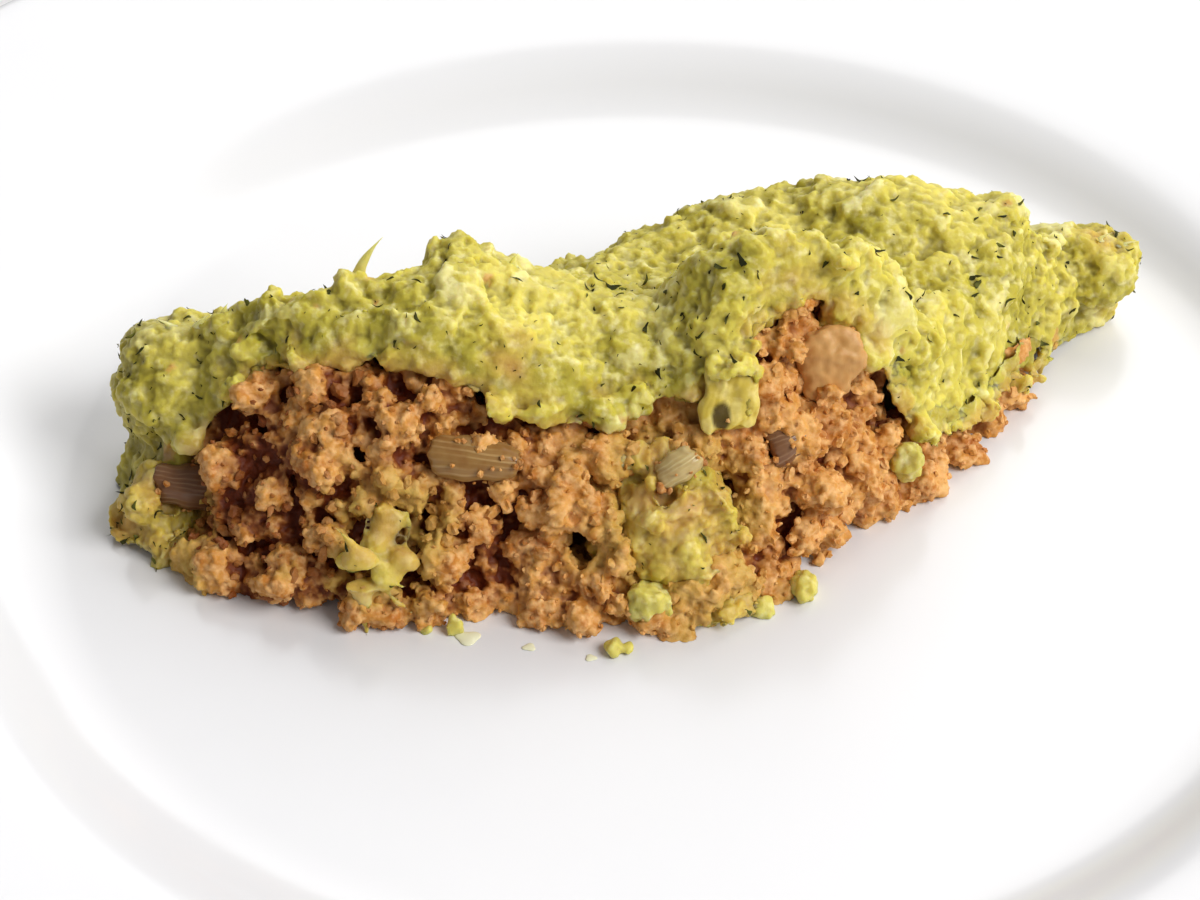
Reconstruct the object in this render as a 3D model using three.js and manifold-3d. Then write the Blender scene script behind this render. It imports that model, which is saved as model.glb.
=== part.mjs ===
// A serving of shepherd's pie on its dinner plate: a crumbly mince filling with a thick
// cover of herbed mashed potato, some of it fallen onto the open side of the filling.
// Millimetres, +Z up. The origin is the centre of the plate's foot, on the table.
// +X is the plate's right and -Y its near side, which the open side of the filling faces.
import * as THREE from 'three';
import { mergeVertices } from 'three/addons/utils/BufferGeometryUtils.js';
import Module from 'manifold-3d';

const wasm = await Module();
wasm.setup();

// ---------------------------------------------------------------- driving dimensions
const PLATE_RADIUS = 135;
const WELL_RADIUS = 80; // of the flat floor that the food lies on
const WELL_DEPTH = 5.6; // from that floor up to the start of the rim
const FLOOR_Z = 7; // top of the well's floor
const RIM_RISE = 8; // from the start of the rim out to its lip
const PLATE_THICKNESS = 4.4;
const FOOT_RADIUS = 56;
const FOOT_WIDTH = 4;
const FOOT_HEIGHT = 2.6;
const PLATE_SEGMENTS = 44;

const GAP = 0.3; // kept between pieces that touch
const FOOD_BASE_Z = FLOOR_Z + GAP;
const HEAP_SEGMENTS = 52; // round each heap of food
const HEAP_ROWS = 14; // from its edge up to the middle of its top
const HEAP_CENTRE = new THREE.Vector2(0, 8); // both heaps are laid out round this point

const COLOURS = {
  porcelain: 0xf4f3f0,
  mince: 0xb5793f,
  mash: 0xb9b552,
  onion: 0xa8895c,
  leek: 0xa9ad3c,
};

// ---------------------------------------------------------------- solids and booleans
// The closed mesh of a geometry as a solid that can be joined and cut.
function toSolid(geometry) {
  const bare = geometry.clone();
  bare.deleteAttribute('normal');
  bare.deleteAttribute('uv');
  const merged = mergeVertices(bare, 1e-3);
  return new wasm.Manifold(new wasm.Mesh({
    numProp: 3,
    vertProperties: merged.attributes.position.array,
    triVerts: new Uint32Array(merged.index.array),
  }));
}

// The largest body of a solid, without the crumbs that a cut leaves.
function largest(solid) {
  const bodies = solid.decompose();
  return bodies.reduce((a, b) => (b.volume() > a.volume() ? b : a));
}

function toGeometry(solid) {
  const mesh = solid.getMesh();
  const geometry = new THREE.BufferGeometry();
  geometry.setAttribute('position', new THREE.BufferAttribute(mesh.vertProperties, 3));
  geometry.setIndex(new THREE.BufferAttribute(mesh.triVerts, 1));
  geometry.computeVertexNormals();
  return geometry;
}

function piece(name, geometry, color, roughness) {
  const material = new THREE.MeshStandardMaterial({ color, roughness, metalness: 0 });
  const mesh = new THREE.Mesh(geometry, material);
  mesh.name = name;
  return mesh;
}

// ---------------------------------------------------------------- plate
// Glazed porcelain turned about Z: foot ring, flat well, steep wall and broad rim.
function plateGeometry() {
  const wallTop = WELL_RADIUS + 9;
  const lipZ = FLOOR_Z + WELL_DEPTH + RIM_RISE;
  const lipRadius = PLATE_THICKNESS / 3;
  const under = FLOOR_Z - PLATE_THICKNESS;
  const profile = new THREE.Path();
  profile.moveTo(0, under);
  profile.lineTo(FOOT_RADIUS - FOOT_WIDTH, under);
  profile.lineTo(FOOT_RADIUS - FOOT_WIDTH / 2, under - FOOT_HEIGHT);
  profile.lineTo(FOOT_RADIUS + FOOT_WIDTH / 2, under - FOOT_HEIGHT);
  profile.lineTo(FOOT_RADIUS + FOOT_WIDTH, under + 0.4);
  profile.lineTo(WELL_RADIUS + 2, under + 1.2);
  profile.lineTo(wallTop + 3, FLOOR_Z + WELL_DEPTH - PLATE_THICKNESS);
  profile.lineTo(PLATE_RADIUS - lipRadius, lipZ - 2 * lipRadius);
  profile.absarc(PLATE_RADIUS - lipRadius, lipZ - lipRadius, lipRadius, -Math.PI / 2, Math.PI / 2);
  profile.lineTo(wallTop + 2, FLOOR_Z + WELL_DEPTH + 0.5);
  profile.lineTo(wallTop, FLOOR_Z + WELL_DEPTH);
  profile.lineTo(WELL_RADIUS + 1.5, FLOOR_Z + 0.7);
  profile.lineTo(WELL_RADIUS, FLOOR_Z);
  profile.lineTo(0, FLOOR_Z);
  const lathe = new THREE.LatheGeometry(profile.getPoints(3), PLATE_SEGMENTS);
  return lathe.rotateX(Math.PI / 2);
}

// ---------------------------------------------------------------- heaps of food
// The plan of a heap, as a smooth closed curve through a few corners.
class Plan {
  constructor(corners) {
    const points = corners.map(([x, y]) => new THREE.Vector3(x, y, 0));
    this.edge = new THREE.CatmullRomCurve3(points, true, 'catmullrom', 0.5).getPoints(360);
    this.polar = this.edge.map((p) => Plan.toPolar(p.x, p.y)).sort((a, b) => a.angle - b.angle);
  }

  static toPolar(x, y) {
    const dx = x - HEAP_CENTRE.x;
    const dy = y - HEAP_CENTRE.y;
    return { angle: Math.atan2(dy, dx), reach: Math.hypot(dx, dy) };
  }

  // How far the edge is from HEAP_CENTRE in the direction of an angle.
  reach(angle) {
    const { polar } = this;
    const next = Math.max(polar.findIndex((p) => p.angle >= angle), 0);
    const from = polar[(next + polar.length - 1) % polar.length];
    const to = polar[next];
    const turn = (a) => THREE.MathUtils.euclideanModulo(a, 2 * Math.PI);
    const share = turn(angle - from.angle) / Math.max(turn(to.angle - from.angle), 1e-9);
    return THREE.MathUtils.lerp(from.reach, to.reach, share);
  }

  // Distance in plan from a point inside to the edge, and 0 outside.
  depth(x, y) {
    const at = Plan.toPolar(x, y);
    if (at.reach >= this.reach(at.angle)) {
      return 0;
    }
    return this.edge.reduce((least, p) => Math.min(least, Math.hypot(p.x - x, p.y - y)), Infinity);
  }
}

// A solid between a flat base and the height of a surface in plan, closed at the outline.
function heapGeometry(plan, surface) {
  const base = new THREE.Vector2(0.55, 0);
  const rows = Array.from({ length: HEAP_ROWS + 1 }, (_, i) => {
    const share = 1 - i / HEAP_ROWS;
    return new THREE.Vector2(1 - (1 - share) ** 1.5, 1);
  });
  const profile = [new THREE.Vector2(0, 0), base, new THREE.Vector2(0.999, 0), ...rows];
  const heap = new THREE.LatheGeometry(profile, HEAP_SEGMENTS).rotateX(Math.PI / 2);
  const position = heap.attributes.position;
  for (let i = 0; i < position.count; i += 1) {
    const [hx, hy, hz] = [position.getX(i), position.getY(i), position.getZ(i)];
    const angle = Math.atan2(hy, hx);
    const out = plan.reach(angle) * Math.hypot(hx, hy);
    const x = HEAP_CENTRE.x + out * Math.cos(angle);
    const y = HEAP_CENTRE.y + out * Math.sin(angle);
    position.setXYZ(i, x, y, FOOD_BASE_Z + (hz > 0.5 ? 0.4 + surface(x, y) : 0));
  }
  return heap;
}

// A heap grown by GAP all round, which cuts its neighbours clear of it. The heap itself and
// a copy raised by GAP are joined in, because growing along the normals pinches tight creases.
function grown(geometry) {
  const bare = geometry.clone();
  bare.deleteAttribute('normal');
  bare.deleteAttribute('uv');
  const merged = mergeVertices(bare, 1e-3);
  merged.computeVertexNormals();
  const { position, normal } = merged.attributes;
  for (let i = 0; i < position.count; i += 1) {
    position.setXYZ(
      i,
      position.getX(i) + GAP * 1.3 * normal.getX(i),
      position.getY(i) + GAP * 1.3 * normal.getY(i),
      position.getZ(i) + GAP * 1.3 * normal.getZ(i),
    );
  }
  const heap = toSolid(geometry);
  return toSolid(merged).add(heap).add(heap.translate([0, 0, GAP]));
}

// How a heap's side rises with distance from its edge: 0 at the edge, 1 at the full height.
function sideRise(distance, width, bulge) {
  const share = Math.min(distance / width, 1);
  return (1 - (1 - share) ** bulge) ** (1 / 1.3);
}

// ---------------------------------------------------------------- mince filling
const MINCE_PLAN = new Plan([
  [-63, -2], [-58, -18], [-36, -29], [-20, -28], [-6, -30.5], [10, -27], [22, -19],
  [44, 5], [54, 22], [53, 36], [18, 41], [-3, 35], [-22, 14], [-54, 9],
]);
const MINCE_BED = 9; // height of the filling away from its mounds
const MINCE_MOUNDS = [
  // centre x and y, spread to each side, spread on its near and far side, height above the bed
  { x: -30, y: -6, side: 30, near: 22, far: 22, rise: 17 },
  { x: 18, y: -2, side: 19, near: 18, far: 10, rise: 20 },
  { x: 34, y: 27, side: 26, near: 12, far: 15, rise: 9 },
];
const OPEN_SIDE_WIDTH = 15; // run of the crumbled slope on the open side
const CLOSED_SIDE_WIDTH = 8;

function moundHeight(mounds, x, y) {
  return mounds.reduce((sum, m) => {
    const dy = y > m.y ? m.far : m.near;
    return sum + m.rise * Math.exp(-(((x - m.x) / m.side) ** 2) - ((y - m.y) / dy) ** 2);
  }, 0);
}

function minceHeight(x, y) {
  const openness = THREE.MathUtils.smoothstep(-y, -12, 8);
  const width = THREE.MathUtils.lerp(CLOSED_SIDE_WIDTH, OPEN_SIDE_WIDTH, openness);
  const side = sideRise(MINCE_PLAN.depth(x, y), width, 1.7);
  return (MINCE_BED + moundHeight(MINCE_MOUNDS, x, y)) * side;
}

// The dark hollows between the clumps of the open side.
const HOLLOWS = [
  { at: [-10, -26.5, 9.5], size: [6, 6, 3] },
  { at: [2, -15, 20], size: [8, 5, 3.4] },
  { at: [-37, -21, 18], size: [5, 5, 2.6] },
  { at: [-44, -15.5, 20.5], size: [5, 5, 3] },
];

// ---------------------------------------------------------------- mashed potato
const MASH_PLAN = new Plan([
  [-69, -2], [-65, -11], [-52, -7.5], [-39, -9], [-12, -15.5], [-2, -12], [9, -13.5],
  [15, -6.5], [23, -2.5], [31, -4.5], [42, 2.5], [51, 16], [58, 25], [66, 34], [59, 43],
  [36, 46], [10, 45], [-14, 38], [-26, 20], [-60, 13],
]);
const MASH_THICKNESS = 6;
const MASH_EDGE_WIDTH = 6;
const MASH_MOUNDS = [
  { x: -60, y: 3, side: 10, near: 9, far: 9, rise: 8 },
  { x: -24, y: 4, side: 24, near: 7, far: 7, rise: 3 },
  { x: 0, y: -3, side: 4.5, near: 14, far: 12, rise: -3.5 }, // the crease between two spoonfuls
  { x: 18, y: 0, side: 18, near: 10, far: 6, rise: 3 },
  { x: 29, y: 1, side: 7, near: 8, far: 6, rise: 2.5 },
  { x: 56, y: 31, side: 9, near: 9, far: 9, rise: 6 },
];
const END_LUMPS = [
  // the cover bulges out over its own foot at both ends
  { at: [-60, 2, FOOD_BASE_Z + 11.5], size: [9, 9, 10.5] },
  { at: [60.5, 33.5, FOOD_BASE_Z + 8], size: [8, 6.5, 6] },
];
const CLOD_COUNT = 34;
const CLOD_RADIUS = 10;
const CLOD_RISE = 2.6;
const GOLDEN_ANGLE = Math.PI * (3 - Math.sqrt(5));

// Spoonfuls laid over the cover, spread evenly by turning each one by the golden angle.
const CLODS = Array.from({ length: CLOD_COUNT }, (_, i) => {
  const angle = ((i * GOLDEN_ANGLE + Math.PI) % (2 * Math.PI)) - Math.PI;
  const out = MASH_PLAN.reach(angle) * Math.sqrt((i + 0.5) / CLOD_COUNT);
  const size = 1 + 0.25 * Math.sin(2.4 * i);
  return {
    x: HEAP_CENTRE.x + out * Math.cos(angle),
    y: HEAP_CENTRE.y + out * Math.sin(angle),
    radius: CLOD_RADIUS * size,
    rise: CLOD_RISE * size,
  };
});

function clodHeight(x, y) {
  return CLODS.reduce((most, clod) => {
    const share = Math.hypot(x - clod.x, y - clod.y) / clod.radius;
    return Math.max(most, clod.rise * Math.sqrt(Math.max(0, 1 - share * share)));
  }, 0);
}

function mashHeight(x, y) {
  const edge = sideRise(MASH_PLAN.depth(x, y), MASH_EDGE_WIDTH, 2);
  const thickness = MASH_THICKNESS - CLOD_RISE / 2 + moundHeight(MASH_MOUNDS, x, y);
  return minceHeight(x, y) + (thickness + clodHeight(x, y)) * edge;
}

// ---------------------------------------------------------------- pieces on the open side
// A rounded, uneven lump: an icosahedral ball stretched to its half sizes and dimpled.
function lumpGeometry({ at, size, turn = [0, 0, 0], detail = 3, uneven = 0.12 }, grow = 0) {
  const ball = new THREE.IcosahedronGeometry(1, detail);
  const position = ball.attributes.position;
  const p = new THREE.Vector3();
  for (let i = 0; i < position.count; i += 1) {
    p.fromBufferAttribute(position, i);
    const wave = Math.sin(3.1 * p.x + at[0]) * Math.sin(2.7 * p.y + at[1]) + Math.sin(3.7 * p.z + at[2]);
    p.multiplyScalar(1 + uneven * 0.5 * wave);
    position.setXYZ(i, p.x * (size[0] + grow), p.y * (size[1] + grow), p.z * (size[2] + grow));
  }
  const placed = new THREE.Object3D();
  placed.position.set(...at);
  placed.rotation.set(...turn);
  placed.updateMatrix();
  return ball.applyMatrix4(placed.matrix);
}

// A cut slice of onion or leek: a curved strip with rounded ends, as thick as one layer.
function sliceGeometry({ at, length, width, thickness, curl, turn }, grow = 0) {
  const half = thickness / 2 + grow;
  const outer = length / 2 + grow;
  const shape = new THREE.Shape();
  const bend = curl * length;
  shape.moveTo(-outer, -half);
  shape.quadraticCurveTo(0, -half + 2 * bend, outer, -half);
  shape.lineTo(outer, half);
  shape.quadraticCurveTo(0, half + 2 * bend, -outer, half);
  shape.closePath();
  const depth = width + 2 * grow;
  const strip = new THREE.ExtrudeGeometry(shape, { depth, bevelEnabled: false, curveSegments: 8 });
  strip.translate(0, -bend / 2, -depth / 2);
  const placed = new THREE.Object3D();
  placed.position.set(...at);
  placed.rotation.set(...turn);
  placed.updateMatrix();
  return strip.applyMatrix4(placed.matrix);
}

// Everything that lies in or on the open side. A later piece is cut clear of the earlier ones.
const FACE_PIECES = [
  {
    name: 'onion_left', kind: sliceGeometry, colour: COLOURS.onion, roughness: 0.3,
    spec: {
      at: [-58, -12.5, FOOD_BASE_Z + 8], length: 8, width: 5, thickness: 2.2, curl: -0.1,
      turn: [-0.5, 0.1, 0.1],
    },
  },
  {
    name: 'onion_middle', kind: sliceGeometry, colour: COLOURS.onion, roughness: 0.3,
    spec: {
      at: [-21.5, -19.5, FOOD_BASE_Z + 19], length: 10.5, width: 5, thickness: 2, curl: -0.1,
      turn: [-0.7, 0.1, 0],
    },
  },
  {
    name: 'onion_right', kind: sliceGeometry, colour: COLOURS.onion, roughness: 0.3,
    spec: {
      at: [17.5, -14.5, FOOD_BASE_Z + 17.5], length: 6, width: 5, thickness: 2, curl: -0.1,
      turn: [-0.6, -0.5, 0.3],
    },
  },
  {
    name: 'onion_pale', kind: sliceGeometry, colour: COLOURS.onion, roughness: 0.3,
    spec: {
      at: [3, -20, FOOD_BASE_Z + 18], length: 7, width: 4.5, thickness: 1.8, curl: -0.1,
      turn: [-0.6, -0.6, 0],
    },
  },
  {
    name: 'leek_slice', kind: sliceGeometry, colour: COLOURS.leek, roughness: 0.3,
    spec: {
      at: [9.4, -13, FOOD_BASE_Z + 24], length: 6.5, width: 9, thickness: 2.4, curl: -0.14,
      turn: [-0.45, 0.05, 0.1],
    },
  },
  {
    name: 'mince_chunk', kind: lumpGeometry, colour: COLOURS.mince, roughness: 0.6,
    spec: {
      at: [21.5, -7, FOOD_BASE_Z + 23], size: [3.6, 3, 5],
      turn: [-0.5, 0, 0.2], detail: 2, uneven: 0.1,
    },
  },
  {
    name: 'mash_lump_face', kind: lumpGeometry, colour: COLOURS.mash, roughness: 0.5,
    spec: {
      at: [1.5, -20.5, FOOD_BASE_Z + 9.5], size: [9.5, 5, 8.5],
      turn: [-0.45, 0.2, -0.2], detail: 2, uneven: 0.2,
    },
  },
  {
    name: 'mash_smear_middle', kind: lumpGeometry, colour: COLOURS.mash, roughness: 0.5,
    spec: {
      at: [-32.5, -24, FOOD_BASE_Z + 10], size: [5, 3, 6],
      turn: [-0.5, 0.2, 0], detail: 2, uneven: 0.3,
    },
  },
  {
    name: 'mash_lump_left', kind: lumpGeometry, colour: COLOURS.mash, roughness: 0.5,
    spec: {
      at: [-62, -11, FOOD_BASE_Z + 2], size: [6.5, 6.5, 6],
      turn: [0, 0, -0.6], detail: 2, uneven: 0.25,
    },
  },
  {
    name: 'mash_lump_near', kind: lumpGeometry, colour: COLOURS.mash, roughness: 0.5,
    spec: { at: [8.5, -26.5, FOOD_BASE_Z + 1.2], size: [4, 3, 2.6], detail: 2, uneven: 0.25 },
  },
];

// ---------------------------------------------------------------- assembly
const belowFood = toSolid(new THREE.BoxGeometry(2 * PLATE_RADIUS, 2 * PLATE_RADIUS, 40)
  .translate(0, 0, FOOD_BASE_Z - 20));

const faceSolids = [];
for (const { name, kind, spec, colour, roughness } of FACE_PIECES) {
  const clear = faceSolids.reduce((solid, other) => solid.subtract(other.wide), toSolid(kind(spec)));
  faceSolids.push({
    name,
    colour,
    roughness,
    solid: largest(clear.subtract(belowFood)),
    wide: toSolid(kind(spec, GAP)),
  });
}

function clearOfFacePieces(solid) {
  return faceSolids.reduce((left, other) => left.subtract(other.wide), solid);
}

const minceHeap = heapGeometry(MINCE_PLAN, minceHeight);
const hollowed = HOLLOWS.reduce(
  (solid, { at, size }) => solid.subtract(toSolid(
    lumpGeometry({ at: [at[0], at[1], FOOD_BASE_Z + at[2]], size, detail: 1 }),
  )),
  toSolid(minceHeap),
);
const minceSolid = largest(clearOfFacePieces(hollowed));

const mashHeap = END_LUMPS.reduce(
  (solid, { at, size }) => solid.add(toSolid(lumpGeometry({ at, size, detail: 2 }))),
  toSolid(heapGeometry(MASH_PLAN, mashHeight)),
);
const mashSolid = largest(clearOfFacePieces(mashHeap.subtract(grown(minceHeap))));

const serving = new THREE.Group();
serving.add(piece('plate', plateGeometry(), COLOURS.porcelain, 0.15));
serving.add(piece('mince_filling', toGeometry(minceSolid), COLOURS.mince, 0.6));
serving.add(piece('mash_cover', toGeometry(mashSolid), COLOURS.mash, 0.5));
for (const { name, solid, colour, roughness } of faceSolids) {
  serving.add(piece(name, toGeometry(solid), colour, roughness));
}

export default serving;
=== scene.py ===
import math

import bmesh
import bpy
import numpy as np
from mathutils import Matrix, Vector, noise
from mathutils.bvhtree import BVHTree
from mathutils.kdtree import KDTree


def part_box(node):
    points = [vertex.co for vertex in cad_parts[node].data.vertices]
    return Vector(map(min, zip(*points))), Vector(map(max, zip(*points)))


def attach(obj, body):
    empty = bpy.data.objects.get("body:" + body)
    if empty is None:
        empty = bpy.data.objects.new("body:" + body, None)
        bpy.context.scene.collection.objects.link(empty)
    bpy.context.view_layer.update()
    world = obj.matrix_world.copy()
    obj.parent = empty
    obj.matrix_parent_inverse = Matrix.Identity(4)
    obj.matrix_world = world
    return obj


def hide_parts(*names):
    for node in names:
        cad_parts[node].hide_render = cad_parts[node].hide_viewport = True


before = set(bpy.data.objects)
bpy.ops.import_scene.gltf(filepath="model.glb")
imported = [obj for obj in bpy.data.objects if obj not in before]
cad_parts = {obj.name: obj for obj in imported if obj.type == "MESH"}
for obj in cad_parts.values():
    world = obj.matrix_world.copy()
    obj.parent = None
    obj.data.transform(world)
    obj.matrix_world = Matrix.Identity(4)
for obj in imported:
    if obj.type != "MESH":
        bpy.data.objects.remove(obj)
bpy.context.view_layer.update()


# ------------------------------------------------------------------ dinner plate
# A dinner plate of white hard porcelain, jiggered in one piece and dipped in clear glaze:
# an unglazed foot ring, a flat well, a steep wall and a broad, gently rising rim.
MM = 0.001
FOOT_RADIUS = 56.0
WELL_RADIUS = 80.0
WELL_FLOOR = 7.0
UNDERSIDE = 2.6
PLATE_RADIUS = 135.0
PLATE_TURNS = 224


def linear(hex_colour):
    """An sRGB hex colour as linear red, green, blue and alpha."""
    channels = [int(hex_colour[i:i + 2], 16) / 255 for i in (1, 3, 5)]
    return [c / 12.92 if c <= 0.04045 else ((c + 0.055) / 1.055) ** 2.4 for c in channels] + [1.0]


def add_node(material, kind, settings=(), links=()):
    """A shader node with its settings and its inputs' links. A BSDF becomes the surface."""
    node = material.node_tree.nodes.new(kind)
    for name, value in dict(settings).items():
        if isinstance(name, str) and hasattr(node, name):
            setattr(node, name, value)
        else:
            node.inputs[name].default_value = value
    for name, output in dict(links).items():
        material.node_tree.links.new(output, node.inputs[name])
    if "BSDF" in node.outputs:
        surface = material.node_tree.nodes.new("ShaderNodeOutputMaterial").inputs["Surface"]
        material.node_tree.links.new(node.outputs["BSDF"], surface)
    return node


def new_material(name):
    """An empty node material."""
    material = bpy.data.materials.new(name)
    material.use_nodes = True
    material.node_tree.nodes.clear()
    return material


def layered(material, colour, layers):
    """A colour with others laid over it in turn. Each layer is the value that it follows, the
    value where it starts and where it is full, the most that it covers, and its own colour."""
    for follows, start, full, most, tint in layers:
        share = add_node(
            material, "ShaderNodeMapRange", {"From Min": start, "From Max": full, "To Max": most},
            {"Value": follows})
        colour = add_node(
            material, "ShaderNodeMix", {"data_type": "RGBA", 7: linear(tint)},
            {0: share.outputs["Result"], 6: colour}).outputs[2]
    return colour


def place(name, points, faces, material, smooth=True, stands_for=()):
    """A mesh piece from points in millimetres, riding on the plate's own body."""
    mesh = bpy.data.meshes.new(name)
    mesh.from_pydata(np.asarray(points) * MM, [], faces)
    mesh.polygons.foreach_set("use_smooth", [smooth] * len(mesh.polygons))
    mesh.materials.append(material)
    mesh.update()
    piece = bpy.data.objects.new(name, mesh)
    bpy.context.scene.collection.objects.link(piece)
    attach(piece, "root")
    if stands_for:
        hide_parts(*stands_for)
    return piece


# radius and height of each corner of the turned section, with the length that it is rounded over
plate_section = [
    (0, UNDERSIDE, 0), (FOOT_RADIUS - 3.4, UNDERSIDE, 1.2), (FOOT_RADIUS - 1.9, 0, 0.9),
    (FOOT_RADIUS + 1.9, 0, 0.9), (FOOT_RADIUS + 3.6, 3.0, 1.5), (WELL_RADIUS + 2, 3.8, 6),
    (WELL_RADIUS + 12, 8.2, 8), (PLATE_RADIUS - 2.6, 17.4, 1.2), (PLATE_RADIUS, 18.2, 1.3),
    (PLATE_RADIUS - 0.2, 20.5, 1.3), (PLATE_RADIUS - 3, 20.2, 1.2), (WELL_RADIUS + 10.5, 13.2, 5),
    (WELL_RADIUS + 1.2, WELL_FLOOR, 6), (0, WELL_FLOOR, 0),
]
STEPS_PER_CORNER = 7
MOST_OF_SIDE = 0.48
outline = []
for i, (r, z, bend) in enumerate(plate_section):
    corner = np.array([r, z], float)
    if bend == 0:
        outline.append(corner)
        continue
    before = np.array(plate_section[i - 1][:2], float) - corner
    after = np.array(plate_section[i + 1][:2], float) - corner
    start = corner + before * min(MOST_OF_SIDE, bend / np.linalg.norm(before))
    end = corner + after * min(MOST_OF_SIDE, bend / np.linalg.norm(after))
    for t in np.linspace(0, 1, STEPS_PER_CORNER):
        outline.append((1 - t) ** 2 * start + 2 * t * (1 - t) * corner + t * t * end)
for r in (60.0, 45.0, 30.0, 15.0, 3.0):
    outline.insert(-1, np.array([r, WELL_FLOOR]))
angles = np.linspace(0, 2 * math.pi, PLATE_TURNS, endpoint=False)
rings = [(r, z) for r, z in outline if r > 0]
plate_points = [(r * math.cos(a), r * math.sin(a), z) for r, z in rings for a in angles]
plate_faces = [
    (i * PLATE_TURNS + j, i * PLATE_TURNS + (j + 1) % PLATE_TURNS,
     (i + 1) * PLATE_TURNS + (j + 1) % PLATE_TURNS, (i + 1) * PLATE_TURNS + j)
    for i in range(len(rings) - 1) for j in range(PLATE_TURNS)
]
plate_points += [(0, 0, UNDERSIDE), (0, 0, WELL_FLOOR)]
last_ring = (len(rings) - 1) * PLATE_TURNS
for j in range(PLATE_TURNS):
    following = (j + 1) % PLATE_TURNS
    plate_faces.append((len(plate_points) - 2, following, j))
    plate_faces.append((len(plate_points) - 1, last_ring + j, last_ring + following))

# Clear glaze over white porcelain: near white, mirror smooth with a faint orange-peel wave,
# so that it shows a soft reflection of the food beside it.
porcelain = new_material("glazed_porcelain")
in_object = add_node(porcelain, "ShaderNodeTexCoord").outputs["Object"]
glaze_wave, kiln_tint = (
    add_node(porcelain, "ShaderNodeTexNoise", {"Scale": 1 / (size * MM), "Detail": detail},
             {"Vector": in_object}).outputs["Fac"] for size, detail in ((9, 2.0), (45, 1.0)))
porcelain_colour = add_node(
    porcelain, "ShaderNodeMix", {"data_type": "RGBA", 6: linear("#e6e5e6"), 7: linear("#e1e1e3")},
    {0: kiln_tint})
glaze_roughness = add_node(
    porcelain, "ShaderNodeMapRange", {"To Min": 0.14, "To Max": 0.24}, {"Value": glaze_wave})
glaze_bump = add_node(
    porcelain, "ShaderNodeBump", {"Strength": 0.25, "Distance": 0.03 * MM},
    {"Height": glaze_wave})
add_node(
    porcelain, "ShaderNodeBsdfPrincipled", {"IOR": 1.5},
    {"Base Color": porcelain_colour.outputs[2], "Roughness": glaze_roughness.outputs["Result"],
     "Normal": glaze_bump.outputs["Normal"]})
place("dinner_plate", plate_points, plate_faces, porcelain, stands_for=["plate"])


# ------------------------------------------------------------------ mince filling
# Cooked mince in gravy: grains of about a millimetre stuck together in clumps of 3 to 9 mm,
# with dark hollows between them, left as the spoon broke it open.
def shell(node, shift=0.0):
    """A CAD node's welded points, in millimetres, moved along their normals, and its triangles."""
    joined = bmesh.new()
    joined.from_mesh(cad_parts[node].data)
    bmesh.ops.remove_doubles(joined, verts=joined.verts, dist=0.01 * MM)
    bmesh.ops.triangulate(joined, faces=joined.faces)
    joined.normal_update()
    points = np.array([v.co[:] for v in joined.verts]) / MM
    normals = np.array([v.normal[:] for v in joined.verts])
    triangles = np.array([[v.index for v in f.verts] for f in joined.faces])
    joined.free()
    return points + normals * shift, triangles


UP = Vector((0, 0, 1))


def tree_of(points, triangles):
    """A tree of triangles to ask for the nearest place and for what a ray meets."""
    return BVHTree.FromPolygons([Vector(p) for p in points], triangles.tolist())


def near_tree(points):
    """A tree of points to ask for the nearest one."""
    tree = KDTree(len(points))
    for i, p in enumerate(points):
        tree.insert(p, i)
    tree.balance()
    return tree


def distances(tree, points):
    """How far each place lies from the nearest point of a tree."""
    return np.array([tree.find(p)[2] for p in points])


def depth_in(tree, point):
    """How far a place lies outside a closed surface: negative inside it."""
    distance = tree.find_nearest(Vector(point))[3]
    crossings, met = 0, tree.ray_cast(Vector(point), UP)[0]
    while met is not None:
        crossings += 1
        met = tree.ray_cast(met + 0.001 * UP, UP)[0]
    return -distance if crossings % 2 else distance


def scatter(points, triangles, count, rng):
    """Random places spread evenly over a surface, each with the normal there."""
    a, b, c = (points[triangles[:, k]] for k in range(3))
    cross = np.cross(b - a, c - a)
    area = np.linalg.norm(cross, axis=1)
    chosen = rng.choice(len(triangles), count, p=area / area.sum())
    u, v = rng.random(count), rng.random(count)
    flip = u + v > 1
    u[flip], v[flip] = 1 - u[flip], 1 - v[flip]
    where = a[chosen] + u[:, None] * (b - a)[chosen] + v[:, None] * (c - a)[chosen]
    return where, cross[chosen] / np.maximum(area[chosen], 1e-9)[:, None]


def spaced(where, spacing):
    """Which of the places to keep, so that none are closer than the spacing."""
    cells, kept = {}, []
    for i, p in enumerate(where):
        cell = tuple((p // spacing).astype(int))
        near = [j for dx in (-1, 0, 1) for dy in (-1, 0, 1) for dz in (-1, 0, 1)
                for j in cells.get((cell[0] + dx, cell[1] + dy, cell[2] + dz), ())]
        if all(np.sum((where[j] - p) ** 2) > spacing ** 2 for j in near):
            cells.setdefault(cell, []).append(i)
            kept.append(i)
    return np.array(kept)


def ball_mesh(fineness):
    """A unit ball of small triangles."""
    ball = bmesh.new()
    bmesh.ops.create_icosphere(ball, subdivisions=fineness, radius=1.0)
    points = np.array([v.co[:] for v in ball.verts])
    triangles = np.array([[v.index for v in f.verts] for f in ball.faces])
    ball.free()
    return points, triangles


def turns(count, rng):
    """Random rotations, as 3 by 3 matrices."""
    q = rng.normal(size=(count, 4))
    w, x, y, z = (q / np.linalg.norm(q, axis=1)[:, None]).T
    return np.stack([
        np.stack([1 - 2 * (y * y + z * z), 2 * (x * y - z * w), 2 * (x * z + y * w)], -1),
        np.stack([2 * (x * y + z * w), 1 - 2 * (x * x + z * z), 2 * (y * z - x * w)], -1),
        np.stack([2 * (x * z - y * w), 2 * (y * z + x * w), 1 - 2 * (x * x + y * y)], -1),
    ], 1)


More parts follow.
